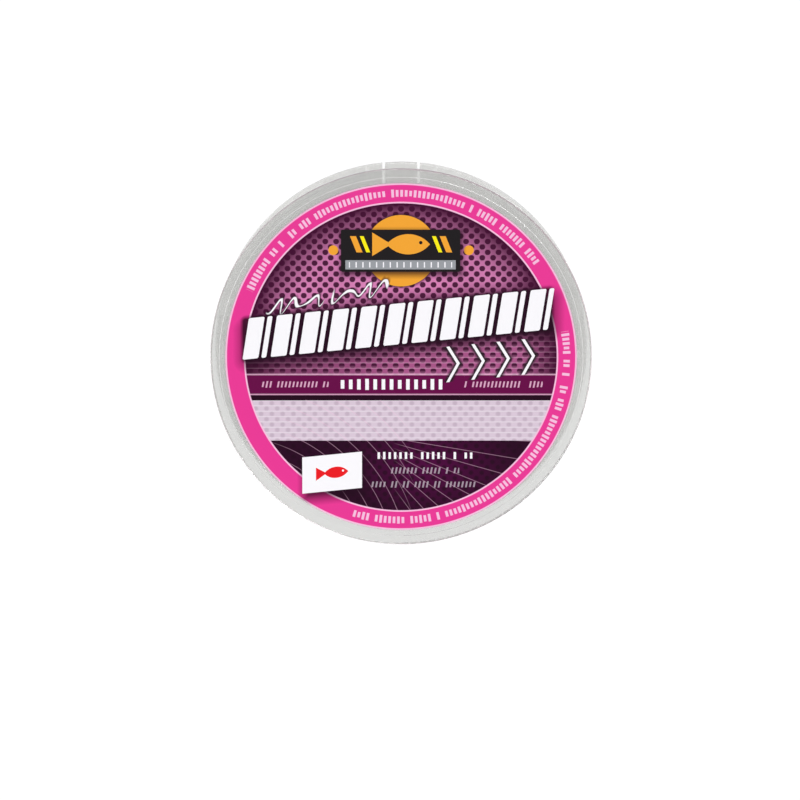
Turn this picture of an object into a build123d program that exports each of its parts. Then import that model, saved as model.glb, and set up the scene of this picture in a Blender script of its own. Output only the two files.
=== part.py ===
from build123d import *

import os

# Leader line spool: two clear flanges snapped onto a ribbed hub, a fine line wound between them
# and a round label on the front. It lies on its rear flange, axis along +Z, label up.
# Lengths are millimetres. The origin is on the axis, in the plane that the rear rim rests on.

# Flanges
front_diameter = 70.0
rear_diameter = 69.0
web_thickness = 0.85
lip_width = 1.7
lip_height = 0.2
rim_round = 0.3
lip_round = 0.12
flange_gap = 11.6

# Hub
hub_diameter = 57.4
hub_wall = 1.3
bore_diameter = 8.0
boss_wall = 2.2
boss_end_gap = 0.15
rib_count = 6
rib_thickness = 0.9

# Snap fit of the flanges in the hub
ring_height = 2.0
ring_wall = 1.0
ring_clearance = 0.05
bead_radius = 0.25
bead_reach = 0.15
bead_clearance = 0.05
rib_clearance = 0.4

# Rear flange openings
bore_lead = 0.3
peg_hole_count = 3
peg_hole_diameter = 3.5
peg_circle_diameter = 32.0

# Line clip: a thin tongue between two slits in the rear rim
clip_width = 6.0
clip_slit = 0.45
clip_length = 4.0
clip_relief = 0.4

# Wound line and the tape that holds its first turn
winding_thickness = 1.16
winding_side_gap = 0.1
winding_round = 0.3
tape_length = 12.0
tape_width = 6.0
tape_thickness = 0.08

# Label
label_margin = 1.05
label_thickness = 0.12

# Levels along the axis, from the rear rim upwards
rear_web_outer = lip_height
rear_web_inner = rear_web_outer + web_thickness
front_web_inner = rear_web_inner + flange_gap
front_web_outer = front_web_inner + web_thickness
front_lip_top = front_web_outer + lip_height
hub_middle = (rear_web_inner + front_web_inner) / 2

# Radii worked out from the driving sizes
hub_radius = hub_diameter / 2
hub_inside = hub_radius - hub_wall
ring_radius = hub_inside - ring_clearance
ring_inside = ring_radius - ring_wall
bore_radius = bore_diameter / 2
boss_radius = bore_radius + boss_wall
winding_radius = hub_radius + winding_thickness
label_radius = front_diameter / 2 - lip_width - label_margin
bead_offset = ring_height / 2


def flange_profile(radius, web_inner, outward):
    """Half section of a flange in the XZ plane: web, raised lip and the ring that enters the hub."""
    web_outer = web_inner + outward * web_thickness
    lip_top = web_outer + outward * lip_height
    ring_end = web_inner - outward * ring_height
    with BuildSketch(Plane.XZ) as section:
        with BuildLine():
            Polyline(
                (0, web_inner),
                (ring_inside, web_inner),
                (ring_inside, ring_end),
                (ring_radius, ring_end),
                (ring_radius, web_inner),
                (radius, web_inner),
                (radius, lip_top),
                (radius - lip_width, lip_top),
                (radius - lip_width, web_outer),
                (0, web_outer),
                close=True,
            )
        make_face()
    return section.sketch


def bead_profile(web_inner, outward, size):
    """Round bead that stands proud of the ring by bead_reach, swollen by size for its groove."""
    place = (ring_radius + bead_reach - bead_radius, web_inner - outward * bead_offset)
    with BuildSketch(Plane.XZ) as section:
        with Locations(place):
            Circle(bead_radius + size)
    return section.sketch


def rim_edges(part, radius):
    """The two outer corners of a rim."""
    return part.edges().filter_by(GeomType.CIRCLE).filter_by(lambda e: abs(e.radius - radius) < 1e-6)


# Front flange: closed web that backs the label
with BuildPart() as front_flange:
    add(flange_profile(front_diameter / 2, front_web_inner, 1))
    add(bead_profile(front_web_inner, 1, 0))
    revolve(axis=Axis.Z)
    fillet(rim_edges(front_flange, front_diameter / 2), rim_round)
    fillet(rim_edges(front_flange, front_diameter / 2 - lip_width).sort_by(Axis.Z)[-1], lip_round)

# Rear flange: spindle hole, peg holes and line clip
with BuildPart() as rear_flange:
    add(flange_profile(rear_diameter / 2, rear_web_inner, -1))
    add(bead_profile(rear_web_inner, -1, 0))
    revolve(axis=Axis.Z)
    fillet(rim_edges(rear_flange, rear_diameter / 2), rim_round)
    fillet(rim_edges(rear_flange, rear_diameter / 2 - lip_width).sort_by(Axis.Z)[0], lip_round)
    with BuildSketch():
        Circle(bore_radius + bore_lead)
        with PolarLocations(peg_circle_diameter / 2, peg_hole_count, start_angle=-90):
            Circle(peg_hole_diameter / 2)
    extrude(amount=rear_web_inner, mode=Mode.SUBTRACT)
    with BuildSketch():
        with Locations((0, rear_diameter / 2)):
            with GridLocations(clip_width + clip_slit, 0, 2, 1):
                Rectangle(clip_slit, 2 * clip_length)
    extrude(amount=rear_web_inner, mode=Mode.SUBTRACT)
    with BuildSketch():
        with Locations((0, rear_diameter / 2)):
            Rectangle(clip_width + clip_slit, 2 * clip_length)
    extrude(amount=clip_relief, mode=Mode.SUBTRACT)

# Hub: drum wall, spindle boss and the ribs between them
with BuildPart() as hub_drum:
    with BuildSketch(Plane.XY.offset(rear_web_inner)):
        Circle(hub_radius)
        Circle(hub_inside, mode=Mode.SUBTRACT)
    extrude(amount=flange_gap)
    with BuildSketch(Plane.XY.offset(rear_web_inner + boss_end_gap)):
        Circle(boss_radius)
    extrude(amount=flange_gap - 2 * boss_end_gap)
    rib_height = flange_gap - 2 * (ring_height + rib_clearance)
    with BuildSketch(Plane.XY.offset(hub_middle - rib_height / 2)):
        with PolarLocations((boss_radius + hub_inside) / 2, rib_count):
            Rectangle(hub_inside - boss_radius + hub_wall, rib_thickness)
    extrude(amount=rib_height)
    with BuildSketch(Plane.XY.offset(rear_web_inner)):
        Circle(bore_radius)
    extrude(amount=flange_gap, mode=Mode.SUBTRACT)
    add(bead_profile(rear_web_inner, -1, bead_clearance))
    add(bead_profile(front_web_inner, 1, bead_clearance))
    revolve(axis=Axis.Z, mode=Mode.SUBTRACT)

# Tape that holds the first turn on the hub
with BuildPart() as start_tape:
    with BuildSketch(Plane.XY.offset(hub_middle - tape_width / 2)):
        Circle(hub_radius + tape_thickness)
        Circle(hub_radius, mode=Mode.SUBTRACT)
        with Locations((hub_radius, 0)):
            Rectangle(hub_radius, tape_length, mode=Mode.INTERSECT)
    extrude(amount=tape_width)

# Wound line, as the closed ring that its turns fill
with BuildPart() as line_winding:
    winding_width = flange_gap - 2 * winding_side_gap
    with BuildSketch(Plane.XY.offset(rear_web_inner + winding_side_gap)):
        Circle(winding_radius)
        Circle(hub_radius, mode=Mode.SUBTRACT)
    extrude(amount=winding_width)
    fillet(rim_edges(line_winding, winding_radius), winding_round)
    add(start_tape.part, mode=Mode.SUBTRACT)

# Label
with BuildPart() as front_label:
    with BuildSketch(Plane.XY.offset(front_web_outer)):
        Circle(label_radius)
    extrude(amount=label_thickness)

pieces = {
    "front_flange": front_flange,
    "rear_flange": rear_flange,
    "hub_drum": hub_drum,
    "start_tape": start_tape,
    "line_winding": line_winding,
    "front_label": front_label,
}
os.makedirs("parts", exist_ok=True)
for name, piece in pieces.items():
    piece.part.label = name
    export_step(piece.part, f"parts/{name}.step")
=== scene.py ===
"""Looks of the leader spool: clear moulded flanges and hub, a printed label, and the wound line."""

import math
import random

import bpy
from mathutils import Matrix, Vector


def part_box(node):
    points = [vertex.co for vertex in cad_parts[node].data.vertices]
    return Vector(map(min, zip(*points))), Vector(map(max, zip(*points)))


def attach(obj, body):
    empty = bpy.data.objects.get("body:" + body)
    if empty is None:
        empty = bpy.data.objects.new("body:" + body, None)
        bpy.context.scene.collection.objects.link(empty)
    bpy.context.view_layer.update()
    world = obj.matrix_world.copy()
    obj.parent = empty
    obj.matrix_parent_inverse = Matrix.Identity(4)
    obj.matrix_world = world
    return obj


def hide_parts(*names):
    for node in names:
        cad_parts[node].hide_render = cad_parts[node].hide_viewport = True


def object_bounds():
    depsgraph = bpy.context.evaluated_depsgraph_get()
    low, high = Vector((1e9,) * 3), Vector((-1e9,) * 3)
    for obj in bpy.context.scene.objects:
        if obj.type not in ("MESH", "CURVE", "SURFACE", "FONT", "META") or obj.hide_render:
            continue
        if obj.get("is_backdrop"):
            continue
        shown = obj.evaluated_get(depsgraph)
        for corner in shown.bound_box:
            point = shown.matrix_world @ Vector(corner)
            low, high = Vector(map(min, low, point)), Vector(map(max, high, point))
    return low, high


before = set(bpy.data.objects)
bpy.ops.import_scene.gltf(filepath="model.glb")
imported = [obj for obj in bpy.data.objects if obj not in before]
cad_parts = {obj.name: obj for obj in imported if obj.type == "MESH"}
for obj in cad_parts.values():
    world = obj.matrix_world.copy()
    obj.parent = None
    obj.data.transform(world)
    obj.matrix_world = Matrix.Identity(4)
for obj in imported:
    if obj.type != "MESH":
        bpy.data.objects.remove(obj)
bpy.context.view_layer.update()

MM = 0.001
TURN = 2 * math.pi

# ---------------------------------------------------------------- shader kit


class Term:
    """A value on its way through a material: arithmetic on it adds the nodes that work it out."""

    def __init__(self, paint, socket):
        self.paint = paint
        self.socket = socket

    def maths(self, operation, *values, clamp=False):
        return self.paint.node(
            "ShaderNodeMath", {"operation": operation, "use_clamp": clamp}, dict(enumerate(values))
        )

    def __add__(self, other):
        return self.maths("ADD", self, other)

    def __radd__(self, other):
        return self.maths("ADD", other, self)

    def __sub__(self, other):
        return self.maths("SUBTRACT", self, other)

    def __rsub__(self, other):
        return self.maths("SUBTRACT", other, self)

    def __mul__(self, other):
        return self.maths("MULTIPLY", self, other)

    def __rmul__(self, other):
        return self.maths("MULTIPLY", other, self)

    def __truediv__(self, other):
        return self.maths("DIVIDE", self, other)

    def __rtruediv__(self, other):
        return self.maths("DIVIDE", other, self)

    def __pow__(self, other):
        return self.maths("POWER", self, other)

    def __mod__(self, other):
        return self.maths("FLOORED_MODULO", self, other)

    def __neg__(self):
        return self.maths("MULTIPLY", self, -1.0)

    def __abs__(self):
        return self.maths("ABSOLUTE", self)

    def __gt__(self, other):
        return self.maths("GREATER_THAN", self, other)

    def floor(self):
        return self.maths("FLOOR", self)

    def fraction(self):
        return self.maths("FRACT", self)

    def sine(self):
        return self.maths("SINE", self)

    def angle_from(self, across):
        """The angle of the point (across, self), from -pi to pi."""
        return self.maths("ARCTAN2", self, across)

    def least(self, other):
        return self.maths("MINIMUM", self, other)

    def most(self, other):
        return self.maths("MAXIMUM", self, other)

    def clamped(self):
        return self.maths("ADD", self, 0.0, clamp=True)

    def ramp(self, low, high):
        """0 at low, 1 at high, straight between them and level past them."""
        return ((self - low) * (1.0 / (high - low))).clamped()


class Paint:
    """One material with a Principled surface. Constants are set on the surface's own sockets."""

    def __init__(self, name, **constants):
        self.material = bpy.data.materials.new(name)
        self.material.use_nodes = True
        self.tree = self.material.node_tree
        self.surface = self.tree.nodes["Principled BSDF"]
        for socket, value in constants.items():
            self.surface.inputs[socket.replace("_", " ")].default_value = value

    def node(self, kind, settings=None, sockets=None, output=0):
        """A node of this kind with its settings and then its sockets, as values or terms."""
        node = self.tree.nodes.new(kind)
        for key, value in (settings or {}).items():
            if key == "stops":
                self.set_stops(node.color_ramp.elements, value)
            else:
                setattr(node, key, value)
        for key, value in (sockets or {}).items():
            self.feed(node.inputs[key], value)
        return Term(self, node.outputs[output])

    def feed(self, socket, value):
        if isinstance(value, Term):
            self.tree.links.new(value.socket, socket)
        else:
            socket.default_value = value

    @staticmethod
    def set_stops(elements, stops):
        while len(elements) < len(stops):
            elements.new(0.5)
        for element, (place, color) in zip(elements, stops):
            element.position = place
            element.color = color

    def set(self, **terms):
        """Feeds the surface's sockets with terms that vary over it."""
        for socket, term in terms.items():
            self.feed(self.surface.inputs[socket.replace("_", " ")], term)

    def place(self):
        """x, y and z in the row frame, in millimetres."""
        here = self.node("ShaderNodeTexCoord", output="Object")
        split = self.node("ShaderNodeSeparateXYZ", sockets={0: here})
        return [Term(self, s) * (1.0 / MM) for s in split.socket.node.outputs]

    def vector(self, x, y, z):
        return self.node("ShaderNodeCombineXYZ", sockets={0: x, 1: y, 2: z})

    def noise(self, vector, scale=1.0, detail=2.0, roughness=0.5):
        return self.node(
            "ShaderNodeTexNoise",
            sockets={"Vector": vector, "Scale": scale, "Detail": detail, "Roughness": roughness},
        )

    def chance(self, index):
        """A fixed random draw from 0 to 1 for each whole number."""
        return self.node("ShaderNodeTexWhiteNoise", {"noise_dimensions": "1D"}, {1: index})

    def mix(self, share, below, above):
        """Colour below, with above laid over it by share."""
        return self.node(
            "ShaderNodeMix", {"data_type": "RGBA"}, {0: share, 6: below, 7: above}, output=2
        )

    def bump(self, height, strength, distance):
        return self.node(
            "ShaderNodeBump", sockets={"Height": height, "Strength": strength, "Distance": distance}
        )

    def shades_softly(self):
        """Lets lamps through the clear surface, so that what lies behind it is lit."""
        ray = self.node("ShaderNodeLightPath", output="Is Shadow Ray")
        clear = self.node("ShaderNodeBsdfTransparent", sockets={"Color": (0.93, 0.94, 0.94, 1)})
        surface = Term(self, self.surface.outputs["BSDF"])
        both = self.node("ShaderNodeMixShader", sockets={0: ray, 1: surface, 2: clear})
        self.feed(self.tree.nodes["Material Output"].inputs["Surface"], both)


def rgb(red, green, blue):
    """A colour given in 0 to 255, as the linear values that shaders work in."""
    shares = [c / 255 for c in (red, green, blue)]
    return (*[c / 12.92 if c <= 0.04045 else ((c + 0.055) / 1.055) ** 2.4 for c in shares], 1.0)


# ---------------------------------------------------------------- flat artwork

EDGE = 0.03  # softness of a printed edge, mm


def ink(distance, soft=EDGE):
    """1 inside a shape and 0 outside it, from the distance to its outline in mm."""
    return (0.5 - distance * (1.0 / soft)).clamped()


def length(x, y):
    return (x * x + y * y) ** 0.5


def disc(x, y, radius):
    return length(x, y) - radius


def block(x, y, width, height, corner=0.0):
    """Distance to a rectangle centred on the origin of x and y, with rounded corners."""
    across = abs(x) - (width / 2 - corner)
    up = abs(y) - (height / 2 - corner)
    inside = across.most(up).least(0.0)
    return length(across.most(0.0), up.most(0.0)) + inside - corner


# ---------------------------------------------------------------- materials


def clear_plastic():
    """Clear polystyrene, with a faint uneven haze and flow rings from moulding."""
    paint = Paint(
        "clear_polystyrene", Transmission_Weight=0.86, IOR=1.59, Base_Color=rgb(221, 221, 219)
    )
    x, y, z = paint.place()
    radius = length(x, y)
    rings = paint.noise(paint.vector(radius, z * 0.2, 0.0), scale=3.0, detail=4.0)
    haze = paint.noise(paint.vector(x, y, z), scale=0.35, detail=5.0, roughness=0.6)
    paint.set(
        Roughness=0.05 + haze * 0.10 + rings * 0.04,
        Normal=paint.bump(rings + haze * 0.5, 0.08, 0.02 * MM),
    )
    paint.shades_softly()
    return paint.material


def line_material():
    """Translucent pale pink monofilament: a bright skin over a milky, slightly uneven body."""
    paint = Paint(
        "pale_pink_line",
        Metallic=0.4,
        Transmission_Weight=0.3,
        IOR=1.42,
        Specular_IOR_Level=0.8,
        Coat_Weight=1.0,
        Coat_Roughness=0.08,
    )
    x, y, z = paint.place()
    streak = paint.noise(paint.vector(x * 0.12, y * 0.12, z * 5.0), scale=1.0, detail=4.0)
    cloud = paint.noise(paint.vector(x * 0.3, y * 0.3, z * 0.4), scale=0.4, detail=2.0)
    uneven = paint.noise(paint.vector(x * 0.4, y * 0.4, z * 5.0), scale=1.0, detail=2.0)
    share = (streak * 0.8 + cloud * 0.5).ramp(0.4, 0.85)
    paint.set(
        Base_Color=paint.mix(share, rgb(212, 170, 188), rgb(240, 214, 224)),
        Roughness=0.10 + streak * 0.14,
        Normal=paint.bump(uneven, 0.6, 0.15 * MM),
    )
    return paint.material


def tape_material():
    """Thin pale film, with faint creases."""
    paint = Paint(
        "start_tape_film", Transmission_Weight=0.4, IOR=1.46, Base_Color=rgb(236, 232, 220)
    )
    x, y, z = paint.place()
    crease = paint.noise(paint.vector(x, y, z * 0.4), scale=0.9, detail=3.0)
    paint.set(Roughness=0.25 + crease * 0.2, Normal=paint.bump(crease, 0.2, 0.02 * MM))
    return paint.material


PINK = rgb(238, 58, 150)
PALE_PINK = rgb(252, 196, 226)
PLUM = rgb(64, 0, 45)
DEEP_PLUM = rgb(34, 0, 24)
MAUVE = rgb(224, 132, 186)
DEEP_MAUVE = rgb(186, 70, 138)
MAGENTA = rgb(104, 4, 70)
LILAC = rgb(222, 203, 217)
GREY_LILAC = rgb(168, 140, 162)
FOOT_PLUM = rgb(42, 0, 32)
FOOT_GLOW = rgb(92, 0, 72)
GOLD = rgb(248, 168, 52)
YELLOW = rgb(255, 240, 20)
STEEL = rgb(158, 160, 164)
RED = rgb(240, 26, 34)
BLACK = rgb(30, 26, 28)
WHITE = rgb(255, 252, 254)

# The label's layout in mm: x and y run from its middle.
LABEL_DISC = 28.7  # radius of the dark printed disc
LABEL_RIM = 32.25
RING_MIDDLE = 30.4  # radius that the ring's dashes run along
ROW_PITCH = 1.0  # of the perforation in the printed ground
HOLE_PITCH = 1.98
HOLE_RADIUS = 0.54
BANNER_Y = 6.3
BANNER_SLOPE = 0.1002
BANNER_HEIGHT = 7.6
MAGENTA_BAND_TOP = -3.3
MAGENTA_BAND_FOOT = -7.0
PALE_BAND_TOP = -8.0
PALE_BAND_FOOT = -15.5
BORDER_WIDTH = 0.25


class Print:
    """Inks laid one over another on the label, in its own x and y in mm."""

    def __init__(self, paint, x, y, ground):
        self.paint = paint
        self.x = x
        self.y = y
        self.color = ground

    def lay(self, share, color):
        self.color = self.paint.mix(share, self.color, color)

    def at(self, x, y, slope=0.0):
        """Coordinates about a point, sheared so that level lines rise by slope."""
        across = self.x - x
        return across, self.y - y - across * slope

    def bar(self, x, y, width, height, color, corner=0.0, slope=0.0):
        across, up = self.at(x, y, slope)
        self.lay(ink(block(across, up, width, height, corner)), color)

    def shade(self, x, y, width, height, depth, soft, slope=0.0):
        """A soft dark patch behind a shape, as a printed drop shadow."""
        across, up = self.at(x, y, slope)
        self.lay(ink(block(across, up, width, height, 0.3), soft) * depth, DEEP_PLUM)

    def dashes(self, x, y, width, height, pitch, color, strength=1.0, slant=0.0):
        """A line of small print, as dashes of uneven height with gaps between groups."""
        across, up = self.at(x, y)
        along = (across + up * slant + width / 2) * (1.0 / pitch)
        index = along.floor()
        draw = self.paint.chance(index + x)
        kept = draw > 0.14
        half = 0.5 * height * (0.72 + 0.28 * draw)
        inside = ink((abs(along.fraction() - 0.5) - 0.22) * pitch) * ink(abs(up) - half)
        ends = ink(abs(across) - width / 2)
        self.lay(inside * ends * kept * strength, color)


def fish(across, up, size):
    """Distance to a plain fish outline, size long, swimming towards +X."""
    half_length = 0.36 * size
    half_height = 0.17 * size
    reach = (half_length**2 + half_height**2) / (2 * half_height)
    body = across - 0.12 * size
    belly = disc(body, up - (reach - half_height), reach)
    back = disc(body, up + (reach - half_height), reach)
    tail_start = -0.16 * size
    tail = (abs(up) + (across - tail_start) * 0.62).most(-(across + 0.48 * size))
    return belly.most(back).least(tail)


def perforation(sheet):
    """Staggered rows of holes: x and y from each hole's middle, and the fine line between rows."""
    rows = sheet.y * (1.0 / ROW_PITCH)
    along = sheet.x * (1.0 / HOLE_PITCH) + (rows.floor() % 2) * 0.5
    hole_x = (along.fraction() - 0.5) * HOLE_PITCH
    hole_y = (rows.fraction() - 0.5) * ROW_PITCH
    return hole_x, hole_y, ink(0.43 * ROW_PITCH - abs(hole_y), 0.1)


def print_ground(sheet, radius):
    """Perforated sheet metal behind the print: dark round holes in a mauve ground."""
    paint = sheet.paint
    x, y = sheet.x, sheet.y
    hole_x, hole_y, lines = perforation(sheet)
    cloud = paint.noise(paint.vector(x, y, 0.0), scale=0.09, detail=2.0)
    lit = (LABEL_DISC - radius).ramp(0.3, 6.5) * (0.55 + cloud * 0.75)
    banner = abs(y - BANNER_Y - x * BANNER_SLOPE) - BANNER_HEIGHT / 2
    lit = lit * (0.15 + 0.85 * banner.ramp(-0.4, 2.6)) * (1.0 - 0.28 * ink(y - 6.0, 6.0))
    low_zone = ink(y - 1.6 - x * 0.06, 3.0)
    lit = lit * (1.0 - low_zone * (0.32 + 0.44 * (-x).ramp(-2.0, 26.0)))
    lip = ink(disc(hole_x, hole_y + 0.14, HOLE_RADIUS), 0.2)
    half_filled = low_zone * ink(hole_y + 0.1, 0.3) * 0.35
    sheet.lay(lit, MAUVE)
    sheet.lay(low_zone * lit * 0.6, DEEP_MAUVE)
    sheet.lay(lip * lit * 0.35, PALE_PINK)
    sheet.lay(ink(disc(hole_x, hole_y, HOLE_RADIUS), 0.14) * (0.97 - half_filled), PLUM)
    sheet.lay(lines * low_zone * (0.12 + lit * 0.4), PALE_PINK)


def print_net(sheet, share):
    """Thin lines like a cast net: arcs bend down on the left, and rays spread to the right."""
    half_width, soft = 0.04, 0.1
    across, up = sheet.at(-31.0, -40.0)
    arc_pitch = 2.4
    arc = ((length(across, up) * (1.0 / arc_pitch)).fraction() - 0.5) * arc_pitch
    left_part = (2.5 - sheet.x).ramp(0.0, 3.0) * (sheet.x + 25.0).ramp(0.0, 6.0)
    sheet.lay(ink(abs(arc) - half_width, soft) * left_part * share, PALE_PINK)
    across, up = sheet.at(-9.0, -13.8)
    rays_per_radian = 9.0
    turned = (up.angle_from(across) * rays_per_radian).fraction() - 0.5
    ray = turned * length(across, up) * (1.0 / rays_per_radian)
    right_part = (sheet.x + 1.5).ramp(0.0, 3.0) * ink(sheet.y - PALE_BAND_FOOT)
    sheet.lay(ink(abs(ray) - half_width, soft) * right_part * share, PALE_PINK)


def print_lower_zone(sheet):
    """Dark band, pale band for the line's gauge, and the dark foot of the disc."""
    y = sheet.y
    sheet.lay(ink(y - (MAGENTA_BAND_TOP + BORDER_WIDTH)) * 0.6, PALE_PINK)
    sheet.lay(ink(y - MAGENTA_BAND_TOP), MAGENTA)
    sheet.lay(ink(y - (MAGENTA_BAND_FOOT + BORDER_WIDTH)) * 0.6, PALE_PINK)
    sheet.lay(ink(y - MAGENTA_BAND_FOOT), DEEP_PLUM)
    hole_x, hole_y, lines = perforation(sheet)
    hole = ink(disc(hole_x, hole_y, 0.42), 0.3)
    pale_band = ink(y - PALE_BAND_TOP)
    sheet.lay(pale_band, LILAC)
    sheet.lay(pale_band * hole * 0.4, GREY_LILAC)
    sheet.lay(pale_band * lines * 0.4, WHITE)
    foot = ink(y - PALE_BAND_FOOT)
    glow_x, glow_y = sheet.at(5.0, -20.5)
    glow = ink(disc(glow_x, glow_y * 1.8, 8.0), 18.0)
    sheet.lay(foot, FOOT_PLUM)
    sheet.lay(foot * glow * 0.7, FOOT_GLOW)
    sheet.lay(foot * hole * 0.7, DEEP_PLUM)
    print_net(sheet, ink(y - (PALE_BAND_TOP + 0.1)) * 0.42)


def print_badge(sheet):
    """Gold roundel behind a dark plate with a fish above a steel rule."""
    across, up = sheet.at(0.0, 19.8)
    sheet.lay(ink(disc(across, up, 6.9), 0.5) * 0.8, DEEP_PLUM)
    sheet.lay(ink(disc(across, up, 6.6)), GOLD)
    for side in (-1, 1):
        stud_x, stud_y = sheet.at(side * 12.4, 19.9)
        sheet.lay(ink(disc(stud_x, stud_y, 0.9)), GOLD)
    sheet.shade(0.1, 19.4, 22.6, 8.6, 0.8, 1.2)
    sheet.bar(-0.1, 19.8, 21.8, 7.8, BLACK, corner=0.3)
    across, up = sheet.at(0.0, 21.0)
    sheet.lay(ink(fish(across, up, 11.0)), GOLD)
    eye_x, eye_y = sheet.at(3.6, 21.3)
    sheet.lay(ink(disc(eye_x, eye_y, 0.32)), BLACK)
    for side in (-1, 1):
        drop_x, drop_y = sheet.at(side * 8.2, 21.0)
        sheet.lay(ink(block(drop_x + drop_y * 0.4, drop_y, 1.1, 3.0)), GOLD)
        drop_x, drop_y = sheet.at(side * 6.6, 21.0)
        sheet.lay(ink(block(drop_x + drop_y * 0.4, drop_y, 0.7, 3.0)), YELLOW)
    sheet.bar(-0.1, 17.2, 20.2, 1.7, STEEL)
    across, up = sheet.at(-0.1, 17.2)
    tick = abs((across * (1.0 / 1.25)).fraction() - 0.5) - 0.09
    sheet.lay(ink(tick * 1.25) * ink(block(across, up, 18.9, 1.0)), WHITE)


def print_banner(sheet):
    """The big white motif: wide and narrow leaning bars in a row that rises to the right."""
    pairs, left, right = 11, -29.1, 27.7
    pitch = (right - left) / pairs
    across, up = sheet.at(0.0, BANNER_Y, BANNER_SLOPE)
    middle = across - (left + right) / 2
    leaning = across - up * 0.16 - left - 0.2
    local = (leaning * (1.0 / pitch)).fraction() * pitch
    wide = block(local - 1.85, up, 2.9, BANNER_HEIGHT, 0.3)
    narrow = block(local - 4.3, up, 0.9, BANNER_HEIGHT, 0.3)
    drop = ink(block(middle - 0.3, up + 1.0, right - left + 1.2, BANNER_HEIGHT + 0.8, 1.6), 3.0)
    halo = ink(block(middle, up + 0.1, right - left + 0.3, BANNER_HEIGHT + 0.7, 0.7), 0.7)
    sheet.lay(drop * 0.85, DEEP_PLUM)
    sheet.lay(halo * 0.92, DEEP_PLUM)
    row = ink(abs(leaning - pitch * pairs / 2) - pitch * pairs / 2)
    sheet.lay(ink(wide.least(narrow)) * row, WHITE)


def print_swash(sheet):
    """A white line that waves along like a cast line, in two strokes over a dark shadow."""
    across, up = sheet.at(-13.8, 11.0, 0.19)
    across = across - up * 0.45
    swell = 0.95 + 0.45 * (across * 0.74 + 1.1).sine()
    phase = across * 1.9 + 0.9 * (across * 0.8).sine()
    wave = phase.sine() * swell
    slope = 1.9 * abs((phase + TURN / 4).sine()) * swell
    stroke = abs(up - wave) / length(1.0, slope)
    ends = ink(abs(abs(across - 0.4) - 5.8) - 5.2, 0.3)
    weight = 0.17 + 0.08 * (across * 1.9).sine()
    sheet.lay(ink(stroke - 0.42, 0.4) * ends * 0.9, DEEP_PLUM)
    sheet.lay(ink(stroke - weight, 0.1) * ends, WHITE)


def print_arrows(sheet):
    """Thin white arrowheads under the right end of the banner."""
    across, up = sheet.at(16.4, -0.5, BANNER_SLOPE)
    pitch = 4.6
    local = ((across * (1.0 / pitch)).fraction() - 0.5) * pitch
    stroke = abs(local - 1.0 + abs(up) * 0.58) * 0.86
    inside = ink(abs(up) - 3.3) * ink(abs(across) - 2 * pitch)
    sheet.lay(ink(stroke - 0.7, 0.5) * inside * 0.92, BLACK)
    sheet.lay(ink(stroke - 0.25) * inside, WHITE)


def print_small_lines(sheet):
    """Small print, as dashes only: three in the magenta band and three in the foot."""
    small = 1.25
    slant = -0.2
    band_y = -5.0
    sheet.dashes(-19.5, band_y, 12.4, small, 0.7, PALE_PINK, 0.7, slant)
    sheet.dashes(-1.9, band_y, 19.2, 2.1, 1.5, WHITE)
    sheet.dashes(18.4, band_y, 15.2, small, 0.7, PALE_PINK, 0.7, slant)
    sheet.dashes(4.0, -18.3, 19.2, 1.4, 1.0, WHITE)
    sheet.dashes(4.0, -21.1, 13.4, small, 0.72, LILAC, 0.5, slant)
    sheet.dashes(4.2, -23.7, 19.6, small, 0.72, LILAC, 0.5, slant)


def print_flag(sheet):
    """White tilted panel with a small red fish."""
    sheet.shade(-12.3, -22.7, 11.6, 7.2, 0.85, 2.2, slope=0.1)
    sheet.bar(-12.7, -21.5, 11.0, 6.8, WHITE, slope=0.1)
    across, up = sheet.at(-12.7, -21.5, 0.1)
    sheet.lay(ink(fish(across, up, 6.2)), RED)
    eye_x, eye_y = sheet.at(-10.7, -21.1)
    sheet.lay(ink(disc(eye_x, eye_y, 0.2)), WHITE)


def print_ring(sheet, radius):
    """Pink ring with pale borders and dashes that follow its curve."""
    sheet.lay(ink(LABEL_DISC - radius), PINK)
    pitch = 0.82
    angle = sheet.y.angle_from(sheet.x)
    for low, high in ((0.61, 2.72), (-1.87, 0.16)):
        along = (angle - low) * (RING_MIDDLE / pitch)
        draw = sheet.paint.chance(along.floor())
        kept = draw > 0.13
        tall = 0.46 + 0.3 * draw
        dash = ink((abs(along.fraction() - 0.5) - 0.3) * pitch)
        dash = dash * ink(abs(radius - RING_MIDDLE) - tall)
        ends = ink((abs(angle - (low + high) / 2) - (high - low) / 2) * RING_MIDDLE)
        sheet.lay(dash * kept * ends, PALE_PINK)
    for border in (LABEL_DISC, LABEL_RIM - 0.15):
        sheet.lay(ink(abs(radius - border) - 0.14, 0.08), PALE_PINK)


def label_material():
    """Printed film with a low sheen. Its back and edge are plain white."""
    paint = Paint("printed_label", Roughness=0.42, Specular_IOR_Level=0.12)
    x, y, z = paint.place()
    radius = length(x, y)
    sheet = Print(paint, x, y, PLUM)
    print_ground(sheet, radius)
    print_lower_zone(sheet)
    print_badge(sheet)
    print_small_lines(sheet)
    print_ring(sheet, radius)
    print_swash(sheet)
    print_banner(sheet)
    print_arrows(sheet)
    print_flag(sheet)
    low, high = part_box("front_label")
    top = z > (low.z + high.z) / 2 / MM
    paint.set(Base_Color=paint.mix(top, WHITE, sheet.color))
    return paint.material


# ---------------------------------------------------------------- geometry kit


def mesh_piece(name, points, faces, material):
    mesh = bpy.data.meshes.new(name)
    mesh.from_pydata(points, [], faces)
    mesh.shade_smooth()
    mesh.materials.append(material)
    piece = bpy.data.objects.new(name, mesh)
    bpy.context.scene.collection.objects.link(piece)
    return piece


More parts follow.
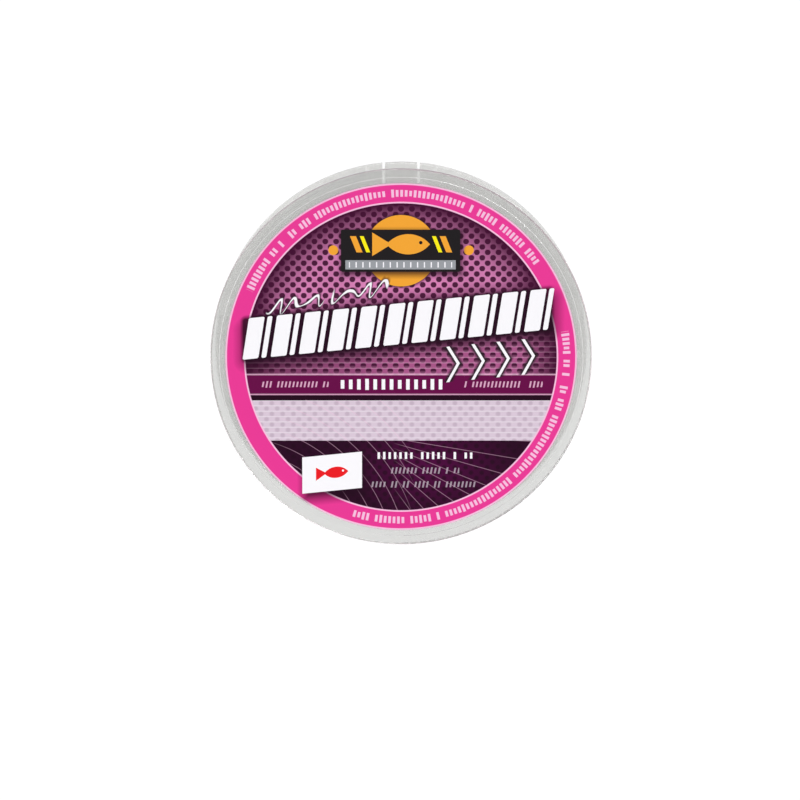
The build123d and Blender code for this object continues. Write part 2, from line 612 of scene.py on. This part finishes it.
class Strands:
    """Collects round strands that follow point lists, as one mesh."""

    def __init__(self, radius, sides):
        self.points = []
        self.faces = []
        self.circle = [
            (radius * math.cos(TURN * k / sides), radius * math.sin(TURN * k / sides))
            for k in range(sides)
        ]

    def add(self, path):
        """A strand along points given as (angle, distance from the axis, height)."""
        sides = len(self.circle)
        first = len(self.points)
        for angle, reach, height in path:
            for outward, up in self.circle:
                r = reach + outward
                self.points.append((r * math.cos(angle), r * math.sin(angle), height + up))
        for step in range(len(path) - 1):
            for k in range(sides):
                a = first + step * sides + k
                b = first + step * sides + (k + 1) % sides
                self.faces.append((a, b, b + sides, a + sides))
        last = first + (len(path) - 1) * sides
        self.faces.append(tuple(range(first, first + sides)))
        self.faces.append(tuple(reversed(range(last, last + sides))))

    def add_core(self, inner, outer, bottom, top, sides=180):
        """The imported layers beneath, as one smooth ring."""
        profile = ((inner, bottom), (outer, bottom), (outer, top), (inner, top))
        first = len(self.points)
        for k in range(sides):
            angle = TURN * k / sides
            for reach, height in profile:
                self.points.append((reach * math.cos(angle), reach * math.sin(angle), height))
        for k in range(sides):
            here, after = first + 4 * k, first + 4 * ((k + 1) % sides)
            for j in range(4):
                m = (j + 1) % 4
                self.faces.append((here + j, after + j, after + m, here + m))


# ---------------------------------------------------------------- wound line

LINE_DIAMETER = 0.2 * MM
STEPS_PER_TURN = 120
# Each loop's start and sweep as shares of a turn, its rise across the width, and how far it lifts.
LOOSE_LOOPS = (
    (0.36, 0.30, 0.9, 0.2),
    (0.40, 0.2, -0.7, 0.32),
    (0.44, 0.14, 0.55, 0.25),
)


def wind_line():
    """The whole winding: packed core, edge turns, one uneven helix on top, and loose last loops."""
    low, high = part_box("line_winding")
    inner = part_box("hub_drum")[1].x
    outer = high.x
    strands = Strands(LINE_DIAMETER / 2, 6)
    strands.add(outer_turns(outer, low.z, high.z))
    for layer in range(int((outer - inner) / LINE_DIAMETER)):
        reach = inner + LINE_DIAMETER * (0.5 + layer)
        for height in (low.z + LINE_DIAMETER / 2, high.z - LINE_DIAMETER / 2):
            strands.add(
                [(TURN * k / STEPS_PER_TURN, reach, height) for k in range(STEPS_PER_TURN + 1)]
            )
    for start, sweep, rise, lift in LOOSE_LOOPS:
        strands.add(crossing(start, sweep, rise, lift, outer, low.z, high.z))
    inset = 0.6 * LINE_DIAMETER
    strands.add_core(inner, outer - 0.85 * LINE_DIAMETER, low.z + inset, high.z - inset)
    piece = mesh_piece("wound_line", strands.points, strands.faces, line_material())
    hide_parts("line_winding")
    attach(piece, "root")


def outer_turns(outer, bottom, top):
    """The top layer as one helix, whose turns wander, dip and drift from one to the next."""
    turns = int((top - bottom) / LINE_DIAMETER)
    draw = random.Random(7)
    lays = [
        (draw.uniform(0, TURN), draw.random() ** 2, draw.uniform(-1, 1)) for _ in range(turns + 2)
    ]
    path = []
    for step in range(turns * STEPS_PER_TURN):
        turn = step / STEPS_PER_TURN
        share = turn - int(turn)
        phase, dip, drift = (
            (1 - share) * here + share * after
            for here, after in zip(lays[int(turn)], lays[int(turn) + 1])
        )
        wander = 0.28 * drift + 0.25 * math.sin(TURN * turn * 2 + phase)
        height = LINE_DIAMETER * min(max(0.5, 0.5 + turn + wander), turns - 0.5)
        dip += 0.12 * math.sin(TURN * turn * 5 + phase)
        path.append((TURN * turn, outer - LINE_DIAMETER * (0.55 + 0.35 * dip), bottom + height))
    return path


def crossing(start, sweep, rise, lift, outer, bottom, top):
    """The last loops of the line, laid across the others: ends sink in, the middle stands off."""
    path = []
    steps = 40
    middle = (bottom + top) / 2
    for step in range(steps + 1):
        share = step / steps
        stand = LINE_DIAMETER * (4 * lift * math.sin(math.pi * share) ** 0.7 - 0.6)
        bend = 0.45 * rise * (top - bottom) * math.sin(math.pi * (share - 0.5))
        path.append((TURN * (start + sweep * share), outer + stand, middle + bend))
    return path


# ---------------------------------------------------------------- studio

VIEW_TILT = math.radians(10)
VIEW_DISTANCE = 1.0
VIEW_WIDTH = 0.147
VIEW_AIM = (-0.0002, -0.0079)
FLOOR_REACH = 3.0


def studio():
    """Floor, camera, five softboxes and the surroundings."""
    low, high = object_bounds()
    middle = (low + high) / 2
    square = ((-1, -1), (1, -1), (1, 1), (-1, 1))
    corners = [(x * FLOOR_REACH, y * FLOOR_REACH, low.z) for x, y in square]
    floor = mesh_piece("floor", corners, [(0, 1, 2, 3)], floor_material())
    floor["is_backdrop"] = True

    camera = bpy.data.objects.new("camera", bpy.data.cameras.new("camera"))
    bpy.context.scene.collection.objects.link(camera)
    back = Vector((0, math.sin(VIEW_TILT), math.cos(VIEW_TILT)))
    up = Vector((0, math.cos(VIEW_TILT), -math.sin(VIEW_TILT)))
    axes = Matrix((up.cross(back), up, back)).transposed().to_4x4()
    aim = Vector((VIEW_AIM[0], VIEW_AIM[1], high.z))
    camera.matrix_world = Matrix.Translation(aim + back * VIEW_DISTANCE) @ axes
    camera.data.lens = camera.data.sensor_width * VIEW_DISTANCE / VIEW_WIDTH
    camera.data.clip_start = 0.01
    bpy.context.scene.camera = camera

    for name, place, width, height, power in (
        ("key_softbox", (-0.36, -0.57, 0.15), 0.44, 0.26, 4.6),
        ("fill_softbox", (0.60, -0.27, 0.16), 0.40, 0.26, 1.8),
        ("left_softbox", (-0.55, 0.32, 0.09), 0.26, 0.16, 0.5),
        ("back_softbox", (0.1, 0.4, 0.62), 0.3, 0.3, 1.1),
        ("top_softbox", (0.1, 0.3, 0.85), 0.5, 0.3, 1.5),
    ):
        lamp(name, middle + Vector(place), middle, width, height, power)

    bpy.context.scene.world = studio_world()
    bpy.context.scene.view_settings.view_transform = "Standard"


def studio_world():
    """White behind the object, and dimmer walls as its surroundings."""
    world = bpy.data.worlds.new("studio")
    world.use_nodes = True
    nodes, links = world.node_tree.nodes, world.node_tree.links
    ray = nodes.new("ShaderNodeLightPath")
    place = nodes.new("ShaderNodeTexCoord")
    split = nodes.new("ShaderNodeSeparateXYZ")
    walls = nodes.new("ShaderNodeValToRGB")
    seen = nodes.new("ShaderNodeMix")
    seen.data_type = "RGBA"
    seen.inputs[7].default_value = (1, 1, 1, 1)
    stops = [(0.0, rgb(188, 191, 194)), (0.9, rgb(149, 151, 155))]
    Paint.set_stops(walls.color_ramp.elements, stops)
    links.new(place.outputs["Generated"], split.inputs[0])
    links.new(split.outputs["Z"], walls.inputs["Fac"])
    through = nodes.new("ShaderNodeMath")
    through.operation = "MULTIPLY_ADD"
    through.inputs[1].default_value = 0.55
    links.new(ray.outputs["Is Transmission Ray"], through.inputs[0])
    links.new(ray.outputs["Is Camera Ray"], through.inputs[2])
    links.new(through.outputs[0], seen.inputs[0])
    links.new(walls.outputs["Color"], seen.inputs[6])
    links.new(seen.outputs[2], nodes["Background"].inputs["Color"])
    return world


def floor_material():
    """Matt floor that glows almost white, so it stays pale under small lamps."""
    paint = Paint(
        "studio_floor",
        Base_Color=rgb(90, 90, 90),
        Roughness=0.9,
        Specular_IOR_Level=0.0,
        Emission_Color=(1, 1, 1, 1),
        Emission_Strength=0.95,
    )
    return paint.material


def lamp(name, place, aim, width, height, power):
    """A softbox at place, turned to aim."""
    light = bpy.data.lights.new(name, "AREA")
    light.shape = "RECTANGLE"
    light.size = width
    light.size_y = height
    light.energy = power
    holder = bpy.data.objects.new(name, light)
    turn = (aim - place).to_track_quat("-Z", "Y")
    holder.matrix_world = Matrix.Translation(place) @ turn.to_matrix().to_4x4()
    bpy.context.scene.collection.objects.link(holder)


# ---------------------------------------------------------------- assembly

plastic = clear_plastic()
for node, material in (
    ("front_flange", plastic),
    ("rear_flange", plastic),
    ("hub_drum", plastic),
    ("start_tape", tape_material()),
    ("front_label", label_material()),
):
    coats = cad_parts[node].data.materials
    coats.clear()
    coats.append(material)

wind_line()
studio()
